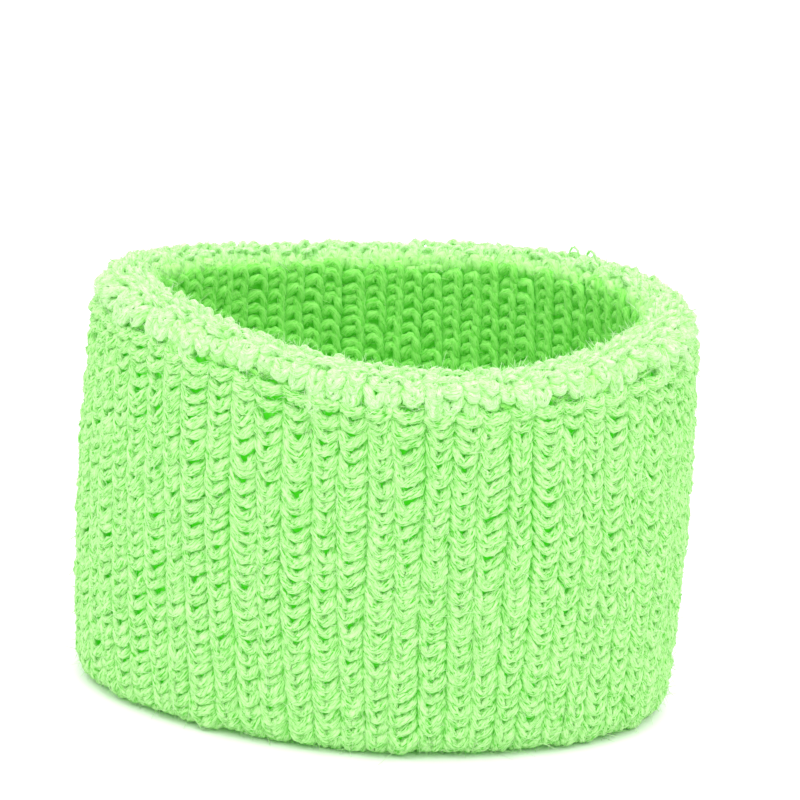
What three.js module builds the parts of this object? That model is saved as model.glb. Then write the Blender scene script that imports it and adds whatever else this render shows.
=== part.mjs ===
// Sweat wristband: a short oval tube of chunky rib knit, folded double, with
// elastic strands laid between its two plies.
//
// Millimetres, +Z up along the tube. The origin is the centre of the band's
// footprint, on the surface that it stands on, and the long way across is X.
// The band is soft, so it stands a little uneven: its base is drawn in across
// Y, and its rim is higher at the back than at the front.

import * as THREE from 'three';

// Driving dimensions of the band as it stands relaxed.
const outerLength = 62;        // across the oval, along X
const rimWidth = 51.6;         // across the oval at the rim, along Y
const baseWidth = 40.8;        // across the oval at the base, along Y
const bandHeight = 43.4;       // mean height of the rim's crest
const wallThickness = 6;       // both plies with the elastic between them

// How the rim's height wanders from its mean on one turn.
const backLift = 3.3;          // up at the back, down at the front
const endLift = 1.0;           // up at both ends of the oval
const cornerLift = 0.8;        // up at the back right and the front left

// The cloth.
const plyThickness = 2.2;
const rimHeight = 2.4;         // looped fold that closes the top edge
const baseHeight = 2.4;        // plain fold that closes the bottom edge
const baseFlatInset = 1.2;     // from the wall's faces to the flat that it stands on
const gap = 0.3;               // between pieces that touch on the real band

// The seam that links the plies just under the rim.
const seamRecessDepth = 1.2;
const seamRecessHeight = 1.2;
const seamThreadWidth = 0.8;
const seamThreadHeight = 0.6;

// The elastic.
const elasticCount = 8;
const elasticDiameter = 0.8;
const elasticSides = 6;

const stationsAround = 40;     // facets in one turn of every ring
const rimArcSteps = 8;         // facets in the rim's round top

// Worked out from the dimensions above.
const halfLength = outerLength / 2;
const middleInset = wallThickness / 2;
const rimBottom = bandHeight - rimHeight;
const plyTop = rimBottom - gap;
const plyBottom = baseHeight + gap;
const innerPlyInset = wallThickness - plyThickness;

function clothMaterial() {
  return new THREE.MeshStandardMaterial({ color: 0xa8ee84, roughness: 0.95, metalness: 0 });
}

function threadMaterial() {
  return new THREE.MeshStandardMaterial({ color: 0x7fd65c, roughness: 0.9, metalness: 0 });
}

function elasticMaterial() {
  return new THREE.MeshStandardMaterial({ color: 0xd7efc8, roughness: 0.7, metalness: 0 });
}

// A closed ring that follows the oval. Its section is a list of points, each
// an inset from the band's outer face and a height, in order round the section.
function ovalRing(name, section, material) {
  const profile = section.map(([inset, height]) => new THREE.Vector2(halfLength - inset, height));
  if (THREE.ShapeUtils.area(profile) < 0) profile.reverse();
  profile.push(profile[0].clone());
  const geometry = new THREE.LatheGeometry(profile, stationsAround);
  geometry.rotateX(Math.PI / 2);
  shapeLikeBand(geometry);
  const mesh = new THREE.Mesh(geometry, material);
  mesh.name = name;
  return mesh;
}

// Turns a round, level ring into an oval one that keeps its wall's thickness
// all round, narrows towards the base and follows the rim's rise.
function shapeLikeBand(geometry) {
  const position = geometry.attributes.position;
  for (let i = 0; i < position.count; i += 1) {
    const x = position.getX(i);
    const y = position.getY(i);
    const z = position.getZ(i);
    const radius = Math.hypot(x, y);
    const share = z / bandHeight;
    const halfWidth = (baseWidth + (rimWidth - baseWidth) * share) / 2;
    const narrowing = halfLength - halfWidth;
    position.setY(i, y * (radius - narrowing) / radius);
    position.setZ(i, z + rimRise(Math.atan2(y, x)) * share);
  }
  geometry.computeVertexNormals();
}

// How far the rim's crest is above its mean height at an angle from +X.
function rimRise(angle) {
  return backLift * Math.sin(angle)
    + endLift * Math.cos(2 * angle)
    + cornerLift * Math.sin(2 * angle);
}

// The outer ply: a plain wall with a recess for the seam round its top edge.
function outerPly() {
  const recessBottom = plyTop - seamRecessHeight;
  return ovalRing('outer_ply', [
    [0, plyBottom],
    [0, recessBottom],
    [seamRecessDepth, recessBottom],
    [seamRecessDepth, plyTop],
    [plyThickness, plyTop],
    [plyThickness, plyBottom],
  ], clothMaterial());
}

// The inner ply: the wall that lies against the skin.
function innerPly() {
  return ovalRing('inner_ply', [
    [innerPlyInset, plyBottom],
    [innerPlyInset, plyTop],
    [wallThickness, plyTop],
    [wallThickness, plyBottom],
  ], clothMaterial());
}

// The rim: a round top that turns from the outer ply to the inner one.
function rimFold() {
  const section = [];
  const start = Math.asin((middleInset - rimHeight) / middleInset);
  for (let step = 0; step <= rimArcSteps; step += 1) {
    const angle = start + (Math.PI - 2 * start) * step / rimArcSteps;
    const inset = middleInset - middleInset * Math.cos(angle);
    const height = bandHeight - middleInset + middleInset * Math.sin(angle);
    section.push([inset, height]);
  }
  return ovalRing('rim_fold', section, clothMaterial());
}

// The base: a plain fold with a flat underside that the band stands on.
function baseFold() {
  return ovalRing('base_fold', [
    [baseFlatInset, 0],
    [0, baseFlatInset],
    [0, baseHeight],
    [wallThickness, baseHeight],
    [wallThickness, baseFlatInset],
    [wallThickness - baseFlatInset, 0],
  ], clothMaterial());
}

// The linking thread, lying in the outer ply's recess.
function seamThread() {
  const bottom = plyTop - seamRecessHeight + gap;
  const top = bottom + seamThreadHeight;
  return ovalRing('seam_thread', [
    [0, bottom],
    [0, top],
    [seamThreadWidth, top],
    [seamThreadWidth, bottom],
  ], threadMaterial());
}

// One turn of covered elastic between the plies.
function elasticStrand(number, height) {
  const section = [];
  const radius = elasticDiameter / 2;
  for (let side = 0; side < elasticSides; side += 1) {
    const angle = 2 * Math.PI * side / elasticSides + Math.PI / 2;
    section.push([middleInset + radius * Math.cos(angle), height + radius * Math.sin(angle)]);
  }
  return ovalRing(`elastic_strand_${number}`, section, elasticMaterial());
}

function elasticStrands() {
  const strands = new THREE.Group();
  const spacing = (plyTop - plyBottom) / elasticCount;
  for (let i = 0; i < elasticCount; i += 1) {
    strands.add(elasticStrand(i + 1, plyBottom + spacing * (i + 0.5)));
  }
  return strands;
}

const wristband = new THREE.Group();
wristband.add(outerPly());
wristband.add(innerPly());
wristband.add(rimFold());
wristband.add(baseFold());
wristband.add(seamThread());
wristband.add(elasticStrands());

export default wristband;
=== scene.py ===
import math

import bpy
import numpy as np
from mathutils import Matrix, Vector


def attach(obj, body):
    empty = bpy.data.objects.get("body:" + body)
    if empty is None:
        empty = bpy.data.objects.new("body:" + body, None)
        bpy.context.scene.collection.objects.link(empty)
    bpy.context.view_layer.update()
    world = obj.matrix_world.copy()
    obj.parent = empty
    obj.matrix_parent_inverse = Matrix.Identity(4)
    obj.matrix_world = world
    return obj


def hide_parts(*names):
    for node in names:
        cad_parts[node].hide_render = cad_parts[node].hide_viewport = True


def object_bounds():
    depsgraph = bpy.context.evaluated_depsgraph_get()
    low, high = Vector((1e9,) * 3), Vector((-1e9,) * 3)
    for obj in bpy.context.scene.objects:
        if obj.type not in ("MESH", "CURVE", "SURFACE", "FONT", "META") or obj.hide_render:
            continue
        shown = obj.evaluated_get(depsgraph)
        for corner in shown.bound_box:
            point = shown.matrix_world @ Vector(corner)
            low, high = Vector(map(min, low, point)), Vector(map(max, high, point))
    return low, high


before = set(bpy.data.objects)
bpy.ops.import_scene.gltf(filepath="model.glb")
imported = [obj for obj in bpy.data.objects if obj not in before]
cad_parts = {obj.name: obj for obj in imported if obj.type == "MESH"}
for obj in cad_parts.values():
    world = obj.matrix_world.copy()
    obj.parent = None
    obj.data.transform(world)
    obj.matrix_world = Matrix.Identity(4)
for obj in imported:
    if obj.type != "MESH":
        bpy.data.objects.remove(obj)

# Lengths are millimetres up to the moment a mesh is made. The frame is in metres.
MM = 0.001
CAD_LOW, CAD_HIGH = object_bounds()
TAU = 2 * math.pi

# The band, as the CAD model holds it: the oval's half sizes, the rim's mean height, the wall, the
# radius of its folds, and how the rim's height wanders on one turn.
HALF_LENGTH = CAD_HIGH.x / MM
RIM_HALF_WIDTH = 25.8
BASE_HALF_WIDTH = 20.4
HEIGHT = 43.4
WALL = 6.0
FOLD = WALL / 2
BACK_LIFT = 3.3
END_LIFT = 1.0
CORNER_LIFT = 0.8

# How far the linked groove on the outside is below the rim's crest.
OUTER_DROP = 3.8

# The rib knit: columns of stitches round the band, their width, about the height of one course,
# the yarn's radius, and the columns' sideways drift, in columns for each course.
WALES = 64
WALE = 2.68
COURSE = 1.28
YARN = 0.48
SKEW = 0.024

# The rim's knit is finer.
RIM_WALES = 96
RIM_COURSES = 7

# Each round of the knit begins and ends at the middle of the back, a share of a turn from +X.
ROUND_START = 0.25


# ---------------------------------------------------------------- the band's shape

OVAL_POWER = 1.835
LEAN_IN = 0.025
BARREL = 0.028


def plan(angle, share):
    """The oval's outline at a share of the band's height."""
    half_width = BASE_HALF_WIDTH + (RIM_HALF_WIDTH - BASE_HALF_WIDTH) * share
    cosine, sine = np.cos(angle), np.sin(angle)
    reach = np.abs(cosine) ** OVAL_POWER + np.abs(sine * HALF_LENGTH / half_width) ** OVAL_POWER
    reach = HALF_LENGTH * reach ** (-1 / OVAL_POWER)
    return reach * cosine, reach * sine


def swell(share):
    """The slight barrel of the wall, which also leans in towards the rim."""
    return 1 - LEAN_IN * (share - 0.5) + BARREL * (1 - (2 * share - 1) ** 2)


def oval_table(share, count=4096):
    """Shares of one turn, equal along the outline at a share of the height, and their angles."""
    angle = np.linspace(0, TAU, count + 1)
    x, y = plan(angle, share)
    gone = np.concatenate([[0], np.cumsum(np.hypot(np.diff(x), np.diff(y)))])
    return gone / gone[-1], angle


BASE_TABLE = oval_table(0.0)
RIM_TABLE = oval_table(1.0)


def rim_rise(angle):
    """How far the rim's crest is above its mean height at an angle from +X."""
    return BACK_LIFT * np.sin(angle) + END_LIFT * np.cos(2 * angle) + CORNER_LIFT * np.sin(2 * angle)


def place(turn, inset, height):
    """Points of the band: a share of one turn from +X, an inset from its outer face, a height."""
    share = np.clip(height / HEIGHT, 0, 1)
    at_base = np.interp(turn % 1.0, *BASE_TABLE)
    at_rim = np.interp(turn % 1.0, *RIM_TABLE)
    angle = at_base + (at_rim - at_base) * share
    nearby = 0.002
    x, y = plan(angle, share)
    x_after, y_after = plan(angle + nearby, share)
    x_before, y_before = plan(angle - nearby, share)
    ahead_x, ahead_y = x_after - x_before, y_after - y_before
    size = np.hypot(ahead_x, ahead_y)
    grown = swell(share)
    x = x * grown - inset * ahead_y / size
    y = y * grown + inset * ahead_x / size
    z = height + rim_rise(angle) * height / HEIGHT
    return np.stack([x, y, z], axis=-1)


# The rib knit starts a little over the rim's inner side, runs down the inside, round the base
# and up the outside.
LEAD = 0.2
INNER_RUN = HEIGHT - 2 * FOLD
BASE_RUN = math.pi * FOLD
OUTER_RUN = HEIGHT - FOLD - OUTER_DROP
RIB_RUN = LEAD + INNER_RUN + BASE_RUN + OUTER_RUN


def rib_section(run):
    """Inset and height on the face, and the direction out of it, after a run along the rib knit."""
    over = np.maximum(LEAD - run, 0) / FOLD
    along = run - LEAD
    turned = np.clip((along - INNER_RUN) / FOLD, 0, math.pi)
    down = INNER_RUN - np.clip(along, 0, INNER_RUN)
    up = np.maximum(along - INNER_RUN - BASE_RUN, 0)
    inset = FOLD * np.cos(turned) + FOLD * np.cos(over)
    height = FOLD - FOLD * np.sin(turned) + down + up + FOLD * np.sin(over)
    return inset, height, np.cos(turned) * np.cos(over), np.sin(over) - np.sin(turned)


# The rim's knit goes on from the outside, over the crest and down the inside. Its loops stand
# up from a crest that is a little flatter than round.
CREST_SINK = 0.5
RIM_OUTSIDE = OUTER_DROP - FOLD
RIM_RUN = RIM_OUTSIDE + math.pi * FOLD - LEAD
CREST = RIM_OUTSIDE + FOLD * math.pi / 2


def rim_section(run):
    """The same for a run along the rim's knit, from the groove on."""
    turned = np.clip((run - RIM_OUTSIDE) / FOLD, 0, math.pi)
    before = np.maximum(RIM_OUTSIDE - run, 0)
    inset = FOLD - FOLD * np.cos(turned)
    height = HEIGHT - FOLD + (FOLD - CREST_SINK) * np.sin(turned) - before
    return inset, height, -np.cos(turned), np.sin(turned)


def on_section(section, turn, run, depth):
    """Points at a depth above the face of either knit. Below it, the depth is negative."""
    inset, height, out_inset, out_height = section(run)
    return place(turn, inset + out_inset * depth, height + out_height * depth)


# ---------------------------------------------------------------- yarn

FLOOR_GAP = 0.01
# The yarn's fibres wind round it once in this length, left-handed as the minus sign says, and
# its surface is uneven by this share.
LAY = -14.0
LUMPS = 0.12
# Each line of yarn starts at its own random place in the fibre pattern, within this span.
PATTERN_SPAN = 90


def above_floor(lines, radii):
    """Lines raised where yarn of these radii would sink into the floor."""
    raised = lines.copy()
    raised[..., 2] = np.maximum(lines[..., 2], radii + FLOOR_GAP)
    return raised


def spline(points, steps):
    """Points on the smooth line that each row of control points pulls, steps to each span."""
    spans = points.shape[1] - 3
    a, b, c, d = (points[:, i:i + spans] for i in range(4))
    rows = []
    for step in range(steps):
        t = step / steps
        rows.append((
            (1 - t) ** 3 * a
            + (3 * t ** 3 - 6 * t ** 2 + 4) * b
            + (-3 * t ** 3 + 3 * t ** 2 + 3 * t + 1) * c
            + t ** 3 * d
        ) / 6)
    return np.stack(rows, axis=2).reshape(points.shape[0], spans * steps, points.shape[2])


def unit(vectors):
    return vectors / np.maximum(np.linalg.norm(vectors, axis=-1, keepdims=True), 1e-9)


def carried_frames(lines):
    """The direction along each line and two across it, carried along it without twist."""
    ahead = unit(np.gradient(lines, axis=1))
    side = np.empty_like(lines)
    side[:, 0] = unit(np.cross(ahead[:, 0], [0.3, 0.2, 0.93]))
    for i in range(1, lines.shape[1]):
        before = side[:, i - 1]
        along = (before * ahead[:, i]).sum(-1, keepdims=True)
        side[:, i] = unit(before - along * ahead[:, i])
    return ahead, side, np.cross(ahead, side)


def yarn_tubes(lines, radii, sides, rng):
    """Rings of points round each line, uneven and slowly winding, and where the fibres run."""
    ahead, side, other = carried_frames(lines)
    step = np.linalg.norm(np.diff(lines, axis=1), axis=-1)
    gone = np.concatenate([np.zeros((len(lines), 1)), np.cumsum(step, axis=1)], axis=1)
    corner = TAU * np.arange(sides) / sides
    angle = corner + (gone * TAU / LAY)[..., None]
    uneven = 1 + LUMPS * np.clip(rng.standard_normal(angle.shape), -2, 2)
    size = radii[..., None] * uneven
    points = (
        lines[:, :, None]
        + (size * np.cos(angle))[..., None] * side[:, :, None]
        + (size * np.sin(angle))[..., None] * other[:, :, None]
    )
    fibre = np.stack([
        np.broadcast_to(gone[..., None], angle.shape),
        radii[..., None] * np.cos(corner),
        radii[..., None] * np.sin(corner),
    ], axis=-1)
    return points, fibre + rng.uniform(0, PATTERN_SPAN, (len(lines), 1, 1, 3))


def mesh_object(name, points, corners, sizes, material):
    """A mesh from its points, the corners of all its faces in a row, and each face's count."""
    mesh = bpy.data.meshes.new(name)
    mesh.vertices.add(len(points))
    mesh.vertices.foreach_set("co", (points * MM).astype(np.float32).ravel())
    mesh.loops.add(len(corners))
    mesh.loops.foreach_set("vertex_index", corners.astype(np.int32))
    mesh.polygons.add(len(sizes))
    starts = np.cumsum(sizes) - sizes
    mesh.polygons.foreach_set("loop_start", starts.astype(np.int32))
    mesh.polygons.foreach_set("loop_total", sizes.astype(np.int32))
    mesh.polygons.foreach_set("use_smooth", np.ones(len(sizes), bool))
    mesh.update(calc_edges=True)
    mesh.materials.append(material)
    obj = bpy.data.objects.new(name, mesh)
    bpy.context.scene.collection.objects.link(obj)
    return obj


def layout(obj, count, across, closing):
    """Lays out a net of faces, count long and across wide, in rows on a square for baking.

    The closing faces after them, each given by the face that it lies on, go with that face."""
    rows = math.ceil(math.sqrt(count / (across + 1)))
    length = math.ceil(count / rows)
    along = np.arange(count)[:, None, None]
    beside = np.arange(across)[None, :, None]
    u = along % length + np.array([0, 0, 1, 1])
    v = along // length * (across + 1) + beside + np.array([0, 1, 1, 0])
    u = np.broadcast_to(u, v.shape) + 0.5
    v = v + 0.5
    net = np.stack([u / (length + 1), v / (rows * (across + 1) + 1)], axis=-1).reshape(-1, 4, 2)
    middles = net.mean(axis=1)[closing]
    ends = np.repeat(middles, across, axis=0)
    layer = obj.data.uv_layers.new(name="OFBake")
    flat = np.concatenate([net.reshape(-1, 2), ends])
    layer.data.foreach_set("uv", flat.astype(np.float32).ravel())


def tube_object(name, points, fibre, material, painted_shade=None):
    """Closed tubes from rings of points. What would sink into the floor is pressed flat on it."""
    points[..., 2] = np.maximum(points[..., 2], FLOOR_GAP)
    strands, rings, sides = points.shape[:3]
    index = np.arange(strands * rings * sides).reshape(strands, rings, sides)
    beside = np.roll(index, -1, axis=2)
    quads = np.stack([index[:, :-1], beside[:, :-1], beside[:, 1:], index[:, 1:]], axis=-1)
    starts, ends = index[:, 0, ::-1], index[:, -1]
    corners = np.concatenate([quads.ravel(), starts.ravel(), ends.ravel()])
    sizes = np.concatenate([np.full(quads.size // 4, 4), np.full(2 * strands, sides)])
    obj = mesh_object(name, points.reshape(-1, 3), corners, sizes, material)
    attribute = obj.data.attributes.new("fibre", "FLOAT_VECTOR", "POINT")
    attribute.data.foreach_set("vector", fibre.astype(np.float32).ravel())
    # Painted shade, from 0 to 1, at each point of the yarn.
    if painted_shade is not None:
        attribute = obj.data.attributes.new("painted_shade", "FLOAT", "POINT")
        attribute.data.foreach_set("value", painted_shade.astype(np.float32).ravel())
    first = np.arange(strands) * (rings - 1) * sides
    last = first + (rings - 2) * sides
    layout(obj, strands * (rings - 1), sides, np.concatenate([first, last]))
    return obj


# ---------------------------------------------------------------- fuzz

# A loose fibre: its spans, its corners, its radius, and how much of that it loses to its end.
HAIR_STEPS = 2
HAIR_SIDES = 3
HAIR = 0.030
HAIR_TAPER = 0.6
# It starts a little inside the yarn's surface. Its rise and its curl are shares of its length.
HAIR_ROOT = 0.96
HAIR_RISE = 0.28
HAIR_CURL = 0.5
# How much the fibres differ in their lengths, rises and radii.
HAIR_LENGTHS = 0.35
HAIR_RISES = 0.6
HAIR_RADII = 0.2


def fuzz(lines, radii, count, length, tangle, rng):
    """Centre lines of loose fibres that leave the yarn's surface along the yarn."""
    ahead, side, other = carried_frames(lines)
    row = rng.integers(0, lines.shape[0], count)
    spot = rng.integers(2, lines.shape[1] - 2, count)
    angle = rng.uniform(0, TAU, count)[:, None]
    out = side[row, spot] * np.cos(angle) + other[row, spot] * np.sin(angle)
    start = lines[row, spot] + out * radii[row, spot][:, None] * HAIR_ROOT
    way = ahead[row, spot] * rng.choice([-1, 1], count)[:, None]
    across = np.cross(out, way)
    long = length * np.exp(HAIR_LENGTHS * np.clip(rng.standard_normal(count), -2, 2))[:, None]
    rise = HAIR_RISE * np.exp(HAIR_RISES * np.clip(rng.standard_normal(count), -2, 2))[:, None]
    drift = tangle * rng.standard_normal((count, 1))
    curl = HAIR_CURL * rng.standard_normal((count, 3))
    share = np.linspace(0, 1, HAIR_STEPS + 1)[None, :, None]
    return (
        start[:, None]
        + way[:, None] * (long[:, None] * share)
        + across[:, None] * ((long * drift)[:, None] * share)
        + out[:, None] * ((long * rise)[:, None] * share ** 1.5)
        + (long * curl)[:, None] * share ** 2
    )


def hair_tubes(lines, rng):
    """Thin tapered tubes round the loose fibres' centre lines."""
    ahead = unit(np.gradient(lines, axis=1))
    side = unit(np.cross(ahead, unit(rng.standard_normal((len(lines), 1, 3)))))
    other = np.cross(ahead, side)
    corner = TAU * np.arange(HAIR_SIDES) / HAIR_SIDES
    share = np.linspace(0, 1, lines.shape[1])
    own_size = np.exp(HAIR_RADII * rng.standard_normal((len(lines), 1)))
    thin = HAIR * (1 - HAIR_TAPER * share ** 2) * own_size
    points = (
        lines[:, :, None]
        + thin[..., None, None] * np.cos(corner)[:, None] * side[:, :, None]
        + thin[..., None, None] * np.sin(corner)[:, None] * other[:, :, None]
    )
    fibre = np.zeros_like(points) + rng.uniform(0, PATTERN_SPAN, (len(lines), 1, 1, 3))
    return points, fibre


# ---------------------------------------------------------------- stitches

# One rib stitch, as its yarn runs from left to right: across in wales, along in courses,
# depth from the knit's face in mm, and thickness against the yarn's. The knit is skewed, so
# the left side of each loop is steep and thin and the right one is slanted and full.
RIB_STITCH = [
    (-0.50, 1.55, -1.90, 0.60),
    (-0.45, 1.42, -1.15, 0.72),
    (-0.40, 0.90, -0.48, 0.82),
    (-0.31, 0.20, -0.28, 0.90),
    (-0.16, -0.50, -0.36, 1.00),
    (0.07, -0.24, -0.40, 1.20),
    (0.28, 0.16, -0.40, 1.25),
    (0.44, 0.64, -0.95, 1.02),
]
# The inside's columns are narrow ladders with open valleys between them.
INNER_STITCH = [
    (-0.50, 1.10, -1.20, 0.85),
    (-0.37, 1.50, -0.45, 0.90),
    (-0.33, 0.90, -0.16, 0.95),
    (-0.28, 0.25, -0.16, 1.00),
    (-0.16, -0.10, -0.45, 1.20),
    (0.06, 0.02, -0.55, 1.40),
    (0.25, 0.12, -0.58, 1.40),
    (0.40, 0.40, -0.80, 1.20),
]
# The last courses before the groove turn into flat bars that lie along it.
LAST_STITCH = [
    (-0.50, 0.62, -1.00, 0.95),
    (-0.42, 0.58, -0.64, 1.15),
    (-0.32, 0.40, -0.50, 1.28),
    (-0.20, 0.26, -0.42, 1.36),
    (-0.02, 0.20, -0.40, 1.38),
    (0.17, 0.26, -0.42, 1.36),
    (0.32, 0.40, -0.50, 1.28),
    (0.42, 0.58, -0.64, 1.15),
]
# The rim's stitches are even arches of full yarn.
RIM_STITCH = [
    (-0.50, 1.40, -1.60, 0.80),
    (-0.40, 1.20, -1.15, 0.98),
    (-0.29, 0.70, -0.70, 1.12),
    (-0.16, 0.20, -0.60, 1.16),
    (0.00, 0.00, -0.58, 1.16),
    (0.16, 0.20, -0.60, 1.16),
    (0.29, 0.70, -0.70, 1.12),
    (0.40, 1.20, -1.15, 0.98),
]
STITCH_POINTS = len(RIB_STITCH)
# The wales over which a course steps up to meet the next, as it does in a tube knitted in rounds.
JOG = 4

# How uneven the knit is, again across in wales, along in courses and depth in mm. The borders
# between columns lie off their places and wander, whole columns stand proud, lean and slip, and
# each stitch is shifted, raised, tilted, sunk and thickened in its own way.
BORDER_SPREAD = 0.07
BORDER_WANDER = 0.08
BORDER_WAVE = 0.23
COLUMN_PROUD = 0.13
COLUMN_LEAN = 0.08
COLUMN_SLIP = 0.5
COLUMN_DRIFT = 0.35
COLUMN_WAVE = 0.31
STITCH_SHIFT = 0.07
STITCH_RISE = 0.15
STITCH_TILT = 0.22
STITCH_SINK = 0.12
STITCH_THICKNESS = 0.06
# The columns' slip dies away over this many courses before the groove.
SETTLING = 4


def stitch_controls(stitch_of, courses, pitch, skew, rng, uneven, wales=WALES):
    """Control points of all the courses' yarn in one row: turn, run, depth and thickness.

    The stitch of each course comes from stitch_of, and its unevenness is scaled by uneven."""
    steady = np.random.default_rng(5)
    border = BORDER_SPREAD * steady.standard_normal(wales)
    border = np.append(border, border[0])
    phase = steady.uniform(0, TAU, wales)
    phase = np.append(phase, phase[0])
    proud = COLUMN_PROUD * steady.standard_normal(wales)
    lean = steady.standard_normal(wales)
    slip = steady.uniform(-COLUMN_SLIP, COLUMN_SLIP, wales)
    drift = steady.uniform(0, TAU, wales)
    number = np.arange(courses * wales)
    course, wale = number // wales, number % wales
    phases = np.stack([phase[wale], phase[wale + 1]], axis=1)
    wander = BORDER_WANDER * np.sin(course[:, None] * BORDER_WAVE + phases)
    left = number + border[wale] + wander[:, 0]
    right = number + 1 + border[wale + 1] + wander[:, 1]
    stitch = stitch_of(course)
    noise = rng.standard_normal((len(number), 6))
    middle = np.clip(1 - 2 * np.abs(stitch[..., 0]), 0, 1)
    shift = STITCH_SHIFT * noise[:, :1] + COLUMN_LEAN * lean[wale][:, None]
    across = stitch[..., 0] + uneven * middle * shift
    turn = ((left + right) / 2)[:, None] + across * (right - left)[:, None]
    along = stitch[..., 1] + uneven * middle * (STITCH_RISE * noise[:, 1:2])
    loose = np.clip((courses - 1 - course) / SETTLING, 0, 1)
    slipped = slip[wale] + COLUMN_DRIFT * np.sin(COLUMN_WAVE * course + drift[wale])
    along = along + (slipped * loose)[:, None]
    along = along + uneven * STITCH_TILT * noise[:, 2:3] * stitch[..., 0]
    gone = wale[:, None] + stitch[..., 0] + 0.5
    jog = np.clip((gone - wales + JOG) / JOG, 0, 1)
    run = course[:, None] + jog + along
    sink = STITCH_SINK * noise[:, 3:4] + proud[wale][:, None]
    depth = stitch[..., 2] + uneven * middle * sink
    thick = stitch[..., 3] * (1 + STITCH_THICKNESS * noise[:, 4:5])
    turn = turn - skew * run
    return np.stack([turn / wales, run * pitch, depth, thick], axis=-1).reshape(-1, 4)


def course_lines(controls, first, courses, steps, wales=WALES):
    """The yarn's line in each of several courses, a row for each."""
    per_course = wales * STITCH_POINTS
    rows = []
    for course in range(first, first + courses):
        start = course * per_course
        index = np.arange(start - 1, start + per_course + 3)
        rows.append(controls[np.clip(index, 0, len(controls) - 1)])
    return spline(np.stack(rows), steps)[:, :per_course * steps + 1]


def fuzz_object(name, lines, radii, count, length, tangle, material, rng):
    """One piece with all the loose fibres of the yarn along these lines."""
    loose = fuzz(lines, radii, count, length, tangle, rng)
    points, fibre = hair_tubes(loose, rng)
    return tube_object(name, points, fibre, material)


# Painted shade: yarn takes its full shade green when it is sunk by the first depth and the second
# together.
SUNK_FROM = 0.30
SUNK_OVER = 0.80


def painted_shade_mask(section, line, points):
    """How much painted shade, from 0 to 1, each point takes by how far it is sunk below the knit's
    face.
    """
    turn, run, depth = line[..., 0] + ROUND_START, line[..., 1], line[..., 2]
    centre = on_section(section, turn, run, depth)
    outward = on_section(section, turn, run, depth + 1) - centre
    level = depth[..., None] + ((points - centre[:, :, None]) * outward[:, :, None]).sum(-1)
    return np.clip((-SUNK_FROM - level) / SUNK_OVER, 0, 1)


def course_pieces(
        name, section, controls, rng, material, shade, *,
        first, courses, pieces, steps, sides, hairs, fluff, wales=WALES):
    """The yarn of several courses with its fuzz, in a number of pieces one above the other.

    The yarn has these steps between control points and these sides round it. The fluff is its
    loose fibres' length, tangle and material. The shade gives the least painted shade for each run."""
    made = []
    bounds = np.linspace(first, first + courses, pieces + 1).astype(int)
    for number, (low, high) in enumerate(zip(bounds[:-1], bounds[1:]), start=1):
        line = course_lines(controls, low, high - low, steps, wales)
        centre = on_section(section, line[..., 0] + ROUND_START, line[..., 1], line[..., 2])
        radii = YARN * line[..., 3]
        centre = above_floor(centre, radii)
        points, fibre = yarn_tubes(centre, radii, sides, rng)
        # Painted shade of each point: by its own depth, and at least the shade given for its run.
        painted_shade = np.maximum(painted_shade_mask(section, line, points), shade(line[..., 1])[..., None])
        made.append(tube_object(f"{name}_yarn_{number}", points, fibre, material, painted_shade))
        fuzz_name = f"{name}_fuzz_{number}"
        made.append(fuzz_object(fuzz_name, centre, radii, hairs // pieces, *fluff, rng))
    return made


# ---------------------------------------------------------------- materials

def new_material(name):
    """A material with its nodes, their links and its shader."""
    material = bpy.data.materials.new(name)
    material.use_nodes = True
    tree = material.node_tree
    return material, tree.nodes, tree.links, tree.nodes["Principled BSDF"]


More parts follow.
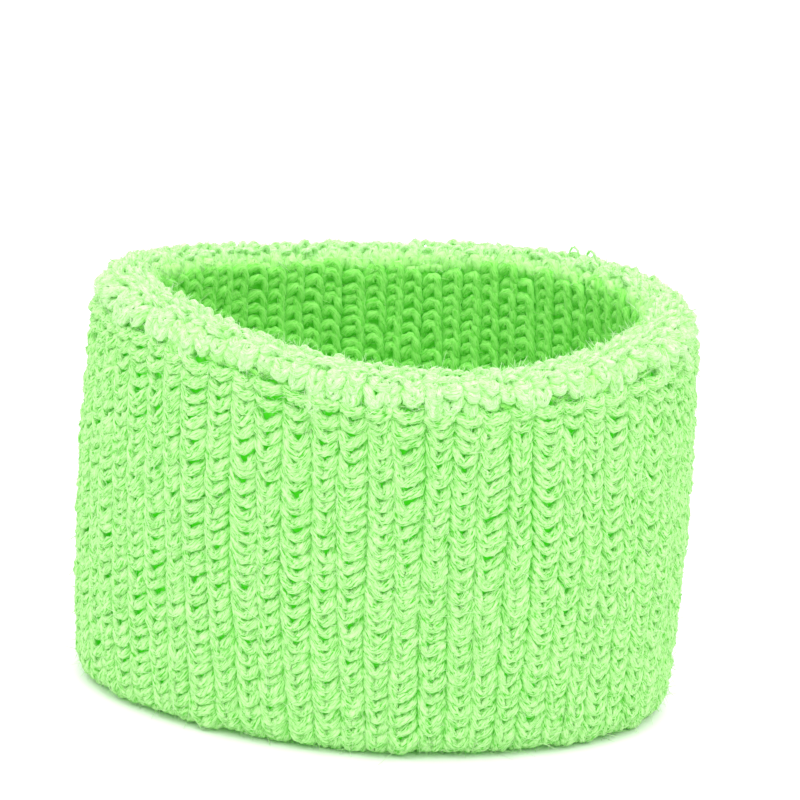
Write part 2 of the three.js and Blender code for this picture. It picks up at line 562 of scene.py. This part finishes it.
def yarn_material(name, dark, light, painted_shade, bump_height=0.08, glow=0.06, tangle=0.5):
    """Woolly dyed yarn: streaks of fibre that follow it, and painted shade, a fuller green, deep
    down.
    """
    material, nodes, links, shader = new_material(name)
    fibre = nodes.new("ShaderNodeAttribute")
    fibre.attribute_name = "fibre"
    mapping = nodes.new("ShaderNodeMapping")
    mapping.inputs["Scale"].default_value = (1.0, 3.4, 3.4)
    links.new(fibre.outputs["Vector"], mapping.inputs["Vector"])
    streaks = nodes.new("ShaderNodeTexNoise")
    streaks.inputs["Scale"].default_value = 1.7
    streaks.inputs["Detail"].default_value = 2.0
    streaks.inputs["Roughness"].default_value = 0.6
    streaks.inputs["Distortion"].default_value = tangle
    links.new(mapping.outputs["Vector"], streaks.inputs["Vector"])
    # The streaks' dark lines are partly the yarn's own mottle and partly painted shade between its
    # fibres.
    middle = [0.45 * a + 0.55 * b for a, b in zip(dark, light)]
    ramp = nodes.new("ShaderNodeValToRGB")
    ramp.color_ramp.elements[0].position = 0.34
    ramp.color_ramp.elements[0].color = (*dark, 1)
    ramp.color_ramp.elements[1].position = 0.64
    ramp.color_ramp.elements[1].color = (*light, 1)
    ramp.color_ramp.elements.new(0.46).color = (*middle, 1)
    links.new(streaks.outputs["Fac"], ramp.inputs["Fac"])
    # Painted shade: the yarn's colour turns towards the shade green where it is sunk below the
    # knit's face.
    # For colours, the mix node's inputs are 0 for the factor, and 6 and 7. Its output is 2.
    painted_shade_node = nodes.new("ShaderNodeAttribute")
    painted_shade_node.attribute_name = "painted_shade"
    mix = nodes.new("ShaderNodeMix")
    mix.data_type = "RGBA"
    mix.inputs[7].default_value = (*painted_shade, 1)
    links.new(painted_shade_node.outputs["Fac"], mix.inputs[0])
    links.new(ramp.outputs["Color"], mix.inputs[6])
    links.new(mix.outputs[2], shader.inputs["Base Color"])
    bump = nodes.new("ShaderNodeBump")
    bump.inputs["Strength"].default_value = 0.7
    bump.inputs["Distance"].default_value = bump_height * MM
    links.new(streaks.outputs["Fac"], bump.inputs["Height"])
    links.new(bump.outputs["Normal"], shader.inputs["Normal"])
    shader.inputs["Roughness"].default_value = 0.9
    shader.inputs["Specular IOR Level"].default_value = 0.2
    # Painted light: the yarn glows a faint green, though it is no lamp, which fills its shade.
    shader.inputs["Emission Color"].default_value = (0.08, 0.50, 0.02, 1)
    shader.inputs["Emission Strength"].default_value = glow
    shader.inputs["Sheen Weight"].default_value = 0.2
    shader.inputs["Sheen Roughness"].default_value = 0.5
    shader.inputs["Sheen Tint"].default_value = (0.8, 1.0, 0.7, 1)
    return material


def cloth_material(name, dark, light, scale, glow_color=(1, 1, 1), glow=0):
    """Matt cloth, mottled at a scale in marks to the metre."""
    material, nodes, links, shader = new_material(name)
    position = nodes.new("ShaderNodeTexCoord")
    noise = nodes.new("ShaderNodeTexNoise")
    noise.inputs["Scale"].default_value = scale
    noise.inputs["Detail"].default_value = 2.0
    links.new(position.outputs["Object"], noise.inputs["Vector"])
    ramp = nodes.new("ShaderNodeValToRGB")
    ramp.color_ramp.elements[0].position = 0.35
    ramp.color_ramp.elements[0].color = (*dark, 1)
    ramp.color_ramp.elements[1].position = 0.65
    ramp.color_ramp.elements[1].color = (*light, 1)
    links.new(noise.outputs["Fac"], ramp.inputs["Fac"])
    links.new(ramp.outputs["Color"], shader.inputs["Base Color"])
    shader.inputs["Roughness"].default_value = 0.95
    shader.inputs["Specular IOR Level"].default_value = 0.1
    # A glow, where one is given, is painted light.
    shader.inputs["Emission Color"].default_value = (*glow_color, 1)
    shader.inputs["Emission Strength"].default_value = glow
    return material


def ground_material(name, dark, light, glow):
    """The knit's ground, whose glow is painted light for the light that real yarn lets through."""
    return cloth_material(name, dark, light, 900, (0.08, 0.60, 0.02), glow)


def elastic_material():
    """Rubber wrapped in pale yarn, whose turns show as fine bands."""
    material, nodes, links, shader = new_material("wrapped_elastic")
    position = nodes.new("ShaderNodeTexCoord")
    wave = nodes.new("ShaderNodeTexWave")
    wave.inputs["Scale"].default_value = 900
    wave.inputs["Distortion"].default_value = 2.0
    links.new(position.outputs["Object"], wave.inputs["Vector"])
    ramp = nodes.new("ShaderNodeValToRGB")
    ramp.color_ramp.elements[0].color = (0.45, 0.75, 0.36, 1)
    ramp.color_ramp.elements[1].color = (0.80, 0.93, 0.72, 1)
    links.new(wave.outputs["Fac"], ramp.inputs["Fac"])
    links.new(ramp.outputs["Color"], shader.inputs["Base Color"])
    bump = nodes.new("ShaderNodeBump")
    bump.inputs["Strength"].default_value = 0.5
    bump.inputs["Distance"].default_value = 0.05 * MM
    links.new(wave.outputs["Fac"], bump.inputs["Height"])
    links.new(bump.outputs["Normal"], shader.inputs["Normal"])
    shader.inputs["Roughness"].default_value = 0.75
    return material


def floor_material():
    """A pale, even white."""
    return cloth_material("floor_white", (0.925, 0.925, 0.925), (0.935, 0.935, 0.935), 3)


# The shade greens: painted shade that the yarn takes where it is sunk below the knit's face. The
# inside's is darker, more painted shade, and the rim's paler, painted light on the rim.
PAINTED_SHADE_GREEN = (0.20, 0.82, 0.07)
INNER_PAINTED_SHADE_GREEN = (0.19, 0.69, 0.08)
RIM_PAINTED_SHADE_GREEN = (0.40, 0.84, 0.22)
RIB_YARN = yarn_material("rib_yarn", (0.07, 0.46, 0.02), (0.54, 0.83, 0.38), PAINTED_SHADE_GREEN, glow=0.10)
# Painted shade: the inside's yarn is a darker copy of the outside's, for the shade inside the band.
SHADED_INNER_YARN = yarn_material(
    "shaded_inner_yarn", (0.10, 0.50, 0.035), (0.30, 0.71, 0.17), INNER_PAINTED_SHADE_GREEN, glow=0.19)
# Painted light: the rim's yarn is a paler copy of the wall's, for the light on the rim, which faces
# up.
LIT_RIM_YARN = yarn_material(
    "lit_rim_yarn", (0.22, 0.64, 0.10), (0.63, 0.87, 0.51), RIM_PAINTED_SHADE_GREEN, glow=0.10, tangle=1.6)
SEAM_YARN = yarn_material(
    "seam_yarn", (0.08, 0.50, 0.02), (0.36, 0.80, 0.20), PAINTED_SHADE_GREEN, tangle=1.6)
# Painted sheen: the loose fibres are paler than their yarn, for the pale haze of light they scatter.
FUZZ = yarn_material("fuzz", (0.22, 0.68, 0.10), (0.70, 0.89, 0.56), PAINTED_SHADE_GREEN, bump_height=0.01)
# Painted shade: a darker copy of the fibres outside, for the shade inside the band.
SHADED_INNER_FUZZ = yarn_material(
    "shaded_inner_fuzz", (0.16, 0.62, 0.07), (0.48, 0.88, 0.30), INNER_PAINTED_SHADE_GREEN, bump_height=0.01)
# Painted light: a paler copy of the fibres on the wall, for the light on the rim.
LIT_RIM_FUZZ = yarn_material(
    "lit_rim_fuzz", (0.28, 0.70, 0.14), (0.74, 0.90, 0.62), RIM_PAINTED_SHADE_GREEN, bump_height=0.01)
# Painted light: the ground's glow shows lit green in the yarn's gaps.
GROUND = ground_material("ground_knit", (0.16, 0.72, 0.05), (0.28, 0.88, 0.11), glow=0.42)
# Painted light: a paler copy of the ground on the wall, for the light on the rim.
LIT_RIM_GROUND = ground_material("lit_rim_ground", (0.30, 0.76, 0.16), (0.45, 0.90, 0.28), glow=0.30)
# Painted shade: a darker copy of the ground outside, for the shade inside the band.
SHADED_INNER_GROUND = ground_material("shaded_inner_ground", (0.18, 0.62, 0.08), (0.28, 0.74, 0.14), glow=0.20)
ELASTIC = elastic_material()


# ---------------------------------------------------------------- pieces

# Painted shade: the rim's yarn turns greener over this run, from a little inside its crest on, for
# the shade inside the band.
SHADE_FROM = 0.8
SHADE_OVER = 3.0
SHADE = 0.75

# The share of the base's run that is knitted like the inside.
INNER_BASE = 0.4
# The courses over which the rib turns into flat bars at the groove.
LAST_COURSES = 4


def no_shade(run):
    """The rib's yarn takes painted shade by its own depth alone."""
    return np.zeros_like(run)


def inside_shade(run):
    """Painted shade: the rim's yarn is greener on the inside of the band, where it is in shade."""
    return SHADE * np.clip((run - CREST - SHADE_FROM) / SHADE_OVER, 0, 1)


def rib_pieces():
    """The inside wall, then the base and the outside wall."""
    rng = np.random.default_rng(11)
    courses = round(RIB_RUN / COURSE)
    inner = int((LEAD + INNER_RUN + BASE_RUN * INNER_BASE) / COURSE)

    def stitch_of(course):
        settled = np.clip((course - courses + LAST_COURSES) / (LAST_COURSES - 1), 0, 1)
        on_inside = (course < inner)[:, None, None]
        wall = np.where(on_inside, np.array(INNER_STITCH), np.array(RIB_STITCH))
        return wall + (np.array(LAST_STITCH) - wall) * settled[:, None, None]

    controls = stitch_controls(stitch_of, courses, RIB_RUN / courses, SKEW, rng, uneven=1.0)
    inside = course_pieces(
        "inner", rib_section, controls, rng, SHADED_INNER_YARN, no_shade,
        first=0, courses=inner, pieces=4, steps=2, sides=7,
        hairs=10000, fluff=(0.7, 0.8, SHADED_INNER_FUZZ))
    outside = course_pieces(
        "outer", rib_section, controls, rng, RIB_YARN, no_shade,
        first=inner, courses=courses - inner, pieces=5, steps=3, sides=8,
        hairs=40000, fluff=(0.7, 0.5, FUZZ))
    return inside, outside


def rim_pieces():
    """The rim's knit, from the groove over the crest to the inside."""
    rng = np.random.default_rng(12)

    def stitch_of(course):
        return np.broadcast_to(np.array(RIM_STITCH), (len(course), STITCH_POINTS, 4))

    pitch = RIM_RUN / RIM_COURSES
    controls = stitch_controls(
        stitch_of, RIM_COURSES, pitch, skew=0.0, rng=rng, uneven=1.7, wales=RIM_WALES)
    return course_pieces(
        "rim", rim_section, controls, rng, LIT_RIM_YARN, inside_shade,
        first=0, courses=RIM_COURSES, pieces=2, steps=3, sides=8,
        hairs=22000, fluff=(0.5, 1.0, LIT_RIM_FUZZ), wales=RIM_WALES)


# A loop goes on past half a turn by this angle at both feet, which are sunk in the rim.
LOOP_POINTS = 13
LOOP_FOOT = 0.6
LOOP_SINK = 0.75


def loop_line(turn, run, half_width, height, tilt):
    """A small open loop that stands on the rim and tilts along its run."""
    angle = np.linspace(-LOOP_FOOT, math.pi + LOOP_FOOT, LOOP_POINTS)
    around = turn + half_width * np.cos(angle) / (WALES * WALE)
    along = run + height * math.sin(tilt) * np.sin(angle)
    depth = -LOOP_SINK + height * math.cos(tilt) * np.sin(angle)
    return on_section(rim_section, around, along, depth)


# The rows of small loops, by their runs from the crest, and where in a turn the long ones stand.
LOOP_ROWS = (-1.4, 0.0, 1.4)
LOOPS_IN_ROW = 2 * WALES
LONG_LOOP_TURNS = (0.105, 0.120)
LONG_LOOP_RADIUS = 0.13


def rim_loops():
    """The terry-like loops along the crest, and two long slack ones at its back right."""
    rng = np.random.default_rng(13)
    lines = []
    radii = []
    for row, across in enumerate(LOOP_ROWS):
        for number in range(LOOPS_IN_ROW):
            turn = (number + 0.5 * (row % 2) + rng.normal(0, 0.18)) / LOOPS_IN_ROW
            run = CREST + across + rng.normal(0, 0.30)
            half_width = rng.uniform(0.46, 0.66)
            height = rng.uniform(0.60, 1.10)
            lines.append(loop_line(turn, run, half_width, height, rng.normal(-0.1, 0.3)))
            radii.append(np.full(LOOP_POINTS, rng.uniform(0.28, 0.36)))
    for turn in LONG_LOOP_TURNS:
        lines.append(loop_line(turn, CREST, half_width=0.9, height=1.7, tilt=0.1))
        radii.append(np.full(LOOP_POINTS, LONG_LOOP_RADIUS))
    lines, radii = np.stack(lines), np.stack(radii)
    points, fibre = yarn_tubes(lines, radii, sides=8, rng=rng)
    loops = tube_object("rim_loops", points, fibre, LIT_RIM_YARN)
    loose = fuzz_object(
        "rim_loops_fuzz", lines, radii,
        count=6000, length=0.4, tangle=1.0, material=LIT_RIM_FUZZ, rng=rng)
    return [loops, loose]


# The linking thread: its radius, the points of each of its waves, its mean inset and how far it
# lies above the line where the two knits meet, and how far it sags and weaves from there.
THREAD = 0.34
THREAD_STEPS = 8
THREAD_INSET = 1.0
THREAD_RISE = 0.25
THREAD_SAG = 0.22
THREAD_WEAVE = 0.15


def seam_stitches():
    """The linking thread, which sags in the groove between the rib columns' borders."""
    rng = np.random.default_rng(14)
    steps = THREAD_STEPS * WALES
    turn = np.arange(steps + 1) / steps
    sag = np.cos(TAU * WALES * turn) * THREAD_SAG
    height = HEIGHT - OUTER_DROP + THREAD_RISE + sag
    inset = THREAD_INSET + THREAD_WEAVE * np.cos(TAU * WALES * turn + 1)
    line = place(turn + ROUND_START, inset, height)[None]
    radii = np.full((1, steps + 1), THREAD)
    points, fibre = yarn_tubes(line, radii, sides=8, rng=rng)
    thread = tube_object("seam_stitches", points, fibre, SEAM_YARN)
    loose = fuzz_object(
        "seam_fuzz", line, radii, count=4000, length=0.6, tangle=0.8, material=FUZZ, rng=rng)
    return thread, loose


# How deep the ground lies behind the faces of the knit, and the counts of its net of faces.
GROUND_DEPTH = 1.4
INNER_GROUND_DEPTH = 0.9
GROUND_TURNS = 264
RIB_ROWS = 120
RIM_ROWS = 24


def ground_cloth():
    """The knit's own ground behind the yarn: one sheet, folded into the double tube."""
    turns = GROUND_TURNS
    turn = np.arange(turns)[None, :] / turns
    rib_run = np.linspace(0, RIB_RUN, RIB_ROWS)[:, None]
    rim_run = np.linspace(0, RIM_RUN, RIM_ROWS)[:, None]
    depth = np.where(rib_run < LEAD + INNER_RUN, -INNER_GROUND_DEPTH, -GROUND_DEPTH)
    rib = on_section(rib_section, turn, rib_run, depth)
    rim = on_section(rim_section, turn, rim_run, -GROUND_DEPTH)
    points = np.concatenate([rib, rim], axis=0)
    rows = len(points)
    index = np.arange(rows * turns).reshape(rows, turns)
    beside = np.roll(index, -1, axis=1)
    quads = np.stack([index[:-1], beside[:-1], beside[1:], index[1:]], axis=-1)
    sizes = np.full(quads.size // 4, 4)
    cloth = mesh_object("ground_cloth", points.reshape(-1, 3), quads.ravel(), sizes, GROUND)
    cloth.data.materials.append(LIT_RIM_GROUND)
    cloth.data.materials.append(SHADED_INNER_GROUND)
    row = np.arange(rows - 1)
    face_run = row * RIB_RUN / RIB_ROWS
    rim_slot, inner_slot = 1, 2
    wall_slots = np.where(face_run < LEAD + INNER_RUN, inner_slot, 0)
    choice = np.where(row >= RIB_ROWS, rim_slot, wall_slots)
    cloth.data.polygons.foreach_set("material_index", np.repeat(choice, turns).astype(np.int32))
    layout(cloth, rows - 1, turns, np.zeros(0, int))
    return cloth


# ---------------------------------------------------------------- camera, floor and light

# The photo's view of the band, in degrees and millimetres. It aims to the right of and above
# the band's middle.
CAMERA_AZIMUTH = math.radians(1.3)
CAMERA_ELEVATION = math.radians(13.8)
CAMERA_ROLL = math.radians(4.0)
CAMERA_DISTANCE = 205.8
CAMERA_LENS = 88.14
AIM_RIGHT = 1.04
AIM_UP = 9.56


def set_camera():
    az, el = CAMERA_AZIMUTH, CAMERA_ELEVATION
    back = Vector((math.sin(az) * math.cos(el), -math.cos(az) * math.cos(el), math.sin(el)))
    right = Vector((math.cos(az), math.sin(az), 0))
    up = back.cross(right)
    centre = Vector((0, 0, HEIGHT / 2))
    eye = (centre + back * CAMERA_DISTANCE) * MM
    target = (centre + right * AIM_RIGHT + up * AIM_UP) * MM
    ahead = (target - eye).normalized()
    level_right = ahead.cross(Vector((0, 0, 1))).normalized()
    level_up = level_right.cross(ahead)
    rolled_right = level_right * math.cos(CAMERA_ROLL) + level_up * math.sin(CAMERA_ROLL)
    rolled_up = level_up * math.cos(CAMERA_ROLL) - level_right * math.sin(CAMERA_ROLL)
    data = bpy.data.cameras.new("camera")
    data.sensor_width = 36
    data.lens = CAMERA_LENS
    data.clip_start = 0.01
    data.clip_end = 20
    camera = bpy.data.objects.new("camera", data)
    bpy.context.scene.collection.objects.link(camera)
    rotation = Matrix((rolled_right, rolled_up, -ahead)).transposed()
    camera.matrix_world = Matrix.Translation(eye) @ rotation.to_4x4()
    bpy.context.scene.camera = camera


def sun_light(name, toward, spread, strength):
    data = bpy.data.lights.new(name, "SUN")
    data.angle = math.radians(spread)
    data.energy = strength
    light = bpy.data.objects.new(name, data)
    bpy.context.scene.collection.objects.link(light)
    light.rotation_mode = "QUATERNION"
    light.rotation_quaternion = Vector(toward).to_track_quat("Z", "Y")


# The floor, and the white wall that stands on it far round the band, in metres.
FLOOR_SIZE = 60
BACKDROP_RADIUS = 20
BACKDROP_HEIGHT = 1


def studio():
    """A white floor and wall in even light, with most of it from above."""
    scene = bpy.context.scene
    scene.view_settings.view_transform = "Standard"
    scene.cycles.max_bounces = 14
    scene.cycles.diffuse_bounces = 12
    world = bpy.data.worlds.new("studio")
    scene.world = world
    world.use_nodes = True
    world.node_tree.nodes["Background"].inputs["Color"].default_value = (1, 1, 1, 1)
    world.node_tree.nodes["Background"].inputs["Strength"].default_value = 0.85
    bpy.ops.mesh.primitive_plane_add(size=FLOOR_SIZE, location=(0, 0, 0))
    floor = bpy.context.object
    floor.name = "floor"
    floor.data.materials.append(floor_material())
    bpy.ops.mesh.primitive_cylinder_add(
        vertices=64, radius=BACKDROP_RADIUS, depth=2 * BACKDROP_HEIGHT, end_fill_type="NOTHING")
    backdrop = bpy.context.object
    backdrop.name = "backdrop"
    backdrop.data.materials.append(floor.data.materials[0])
    sun_light("overhead", toward=(0.0, -0.28, 1.0), spread=80, strength=3.1)


# ---------------------------------------------------------------- build

CLOTH_NODES = ("outer_ply", "inner_ply", "rim_fold", "base_fold")


def build():
    set_camera()
    studio()
    inside, outside = rib_pieces()
    rim = rim_pieces()
    loops = rim_loops()
    seam, seam_fuzz = seam_stitches()
    cloth = ground_cloth()
    yarn = [*inside, *outside, *rim, *loops]
    for piece in (*yarn, cloth):
        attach(piece, "root")
    for piece in (seam, seam_fuzz):
        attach(piece, "root")
    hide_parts(*CLOTH_NODES)
    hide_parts("seam_thread")
    for name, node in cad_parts.items():
        if name.startswith("elastic_strand"):
            node.data.materials.clear()
            node.data.materials.append(ELASTIC)


build()
